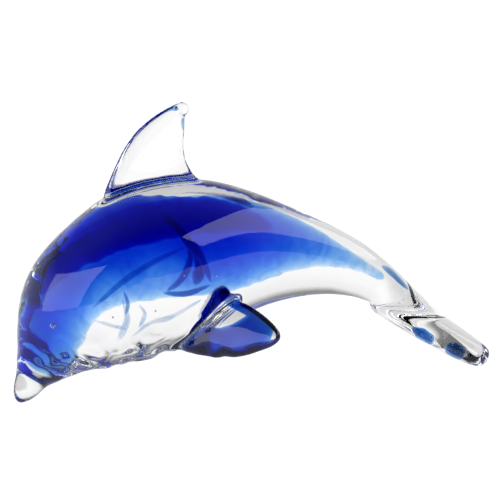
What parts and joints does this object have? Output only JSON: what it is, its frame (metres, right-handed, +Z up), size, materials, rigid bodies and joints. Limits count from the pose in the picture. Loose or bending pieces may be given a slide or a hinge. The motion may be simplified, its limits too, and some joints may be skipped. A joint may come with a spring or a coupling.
{
  "type": "glass dolphin figurine",
  "caption": "Clear and cobalt-blue cased-glass dolphin figurine in a leaping pose, standing on its beak and its tail flukes.",
  "frame": {"origin": "on the surface it stands on, at the middle of its footprint box, in the plane of symmetry", "axes": "+Z up; the head points to -X and the tail to +X; the left side is -Y"},
  "size_m": [0.1544, 0.0674, 0.0908],
  "materials": {
    "clear_glass": "fire-polished clear glass",
    "cobalt_glass": "transparent cobalt blue, fading to pale blue where thin",
    "blue_glass": "transparent mid blue"
  },
  "bodies": {
    "root": {"body_casing": "clear_glass", "cobalt_core": "cobalt_glass", "beak": "clear_glass", "dorsal_fin": "clear_glass", "pectoral_fin_left": "clear_glass", "pectoral_core_left": "blue_glass", "pectoral_fin_right": "clear_glass", "pectoral_core_right": "blue_glass", "tail_stock": "clear_glass", "fluke_left": "clear_glass", "fluke_right": "clear_glass"}
  },
  "joints": []
}
